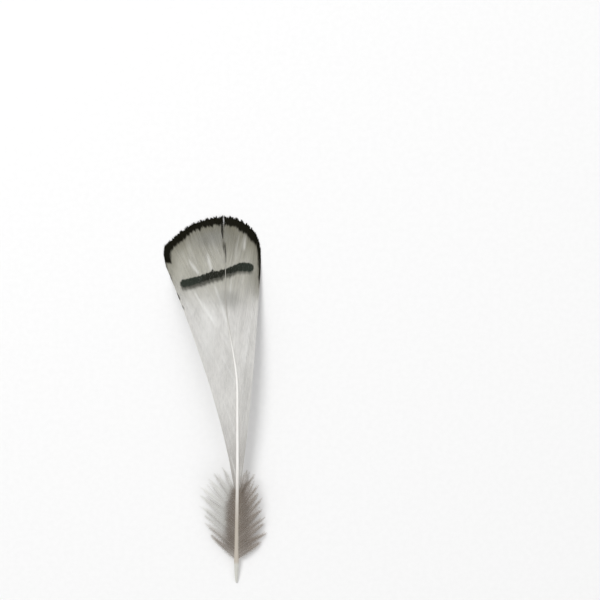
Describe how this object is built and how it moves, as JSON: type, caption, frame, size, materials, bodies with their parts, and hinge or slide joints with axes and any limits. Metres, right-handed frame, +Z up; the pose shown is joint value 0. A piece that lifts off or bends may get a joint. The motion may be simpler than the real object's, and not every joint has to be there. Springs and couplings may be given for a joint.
{
  "type": "pheasant tippet feather",
  "caption": "Small fan-shaped pheasant tippet feather, silver white with a black-green tip band and one bar, downy at the base, lying outer side up.",
  "frame": {"origin": "on the resting surface, under the middle of the feather's box", "axes": "+Y from the end of the quill to the tip, +Z up out of the feather's outer (upper) side, +X to the right with the tip pointing away"},
  "size_m": [0.022, 0.0806, 0.0056],
  "materials": {
    "vane": "satin",
    "shaft": "satin",
    "down": "matte"
  },
  "bodies": {
    "root": {"feather": "vane"}
  },
  "joints": []
}
